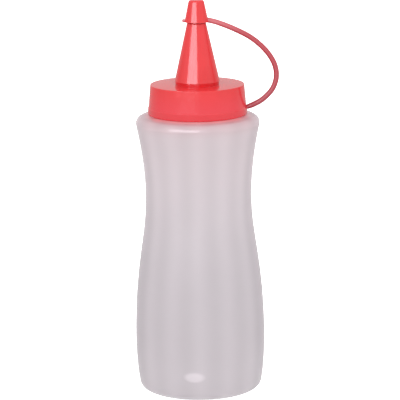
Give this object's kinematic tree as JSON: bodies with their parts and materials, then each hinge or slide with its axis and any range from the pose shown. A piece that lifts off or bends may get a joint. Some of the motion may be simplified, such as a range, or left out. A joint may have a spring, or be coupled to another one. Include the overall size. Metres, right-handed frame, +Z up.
{
  "type": "squeeze bottle",
  "caption": "Waisted round squeeze bottle in frosted soft plastic, with a red screw cap, a conical nozzle and a tip cap on a looped tether.",
  "frame": {"origin": "on the bottle's axis, in the plane of its foot", "axes": "+Z up along the bottle's axis to the tip cap, +X towards the tether's loop, -Y towards the viewer of the front"},
  "size_m": [0.071, 0.0632, 0.191],
  "materials": {
    "frosted_plastic": "frosted, milky and see-through to light, with a soft sheen",
    "red_plastic": "glossy, slightly translucent moulded red"
  },
  "bodies": {
    "root": {"bottle": "frosted_plastic", "screw_cap": "red_plastic", "tip_cap": "red_plastic"}
  },
  "joints": []
}
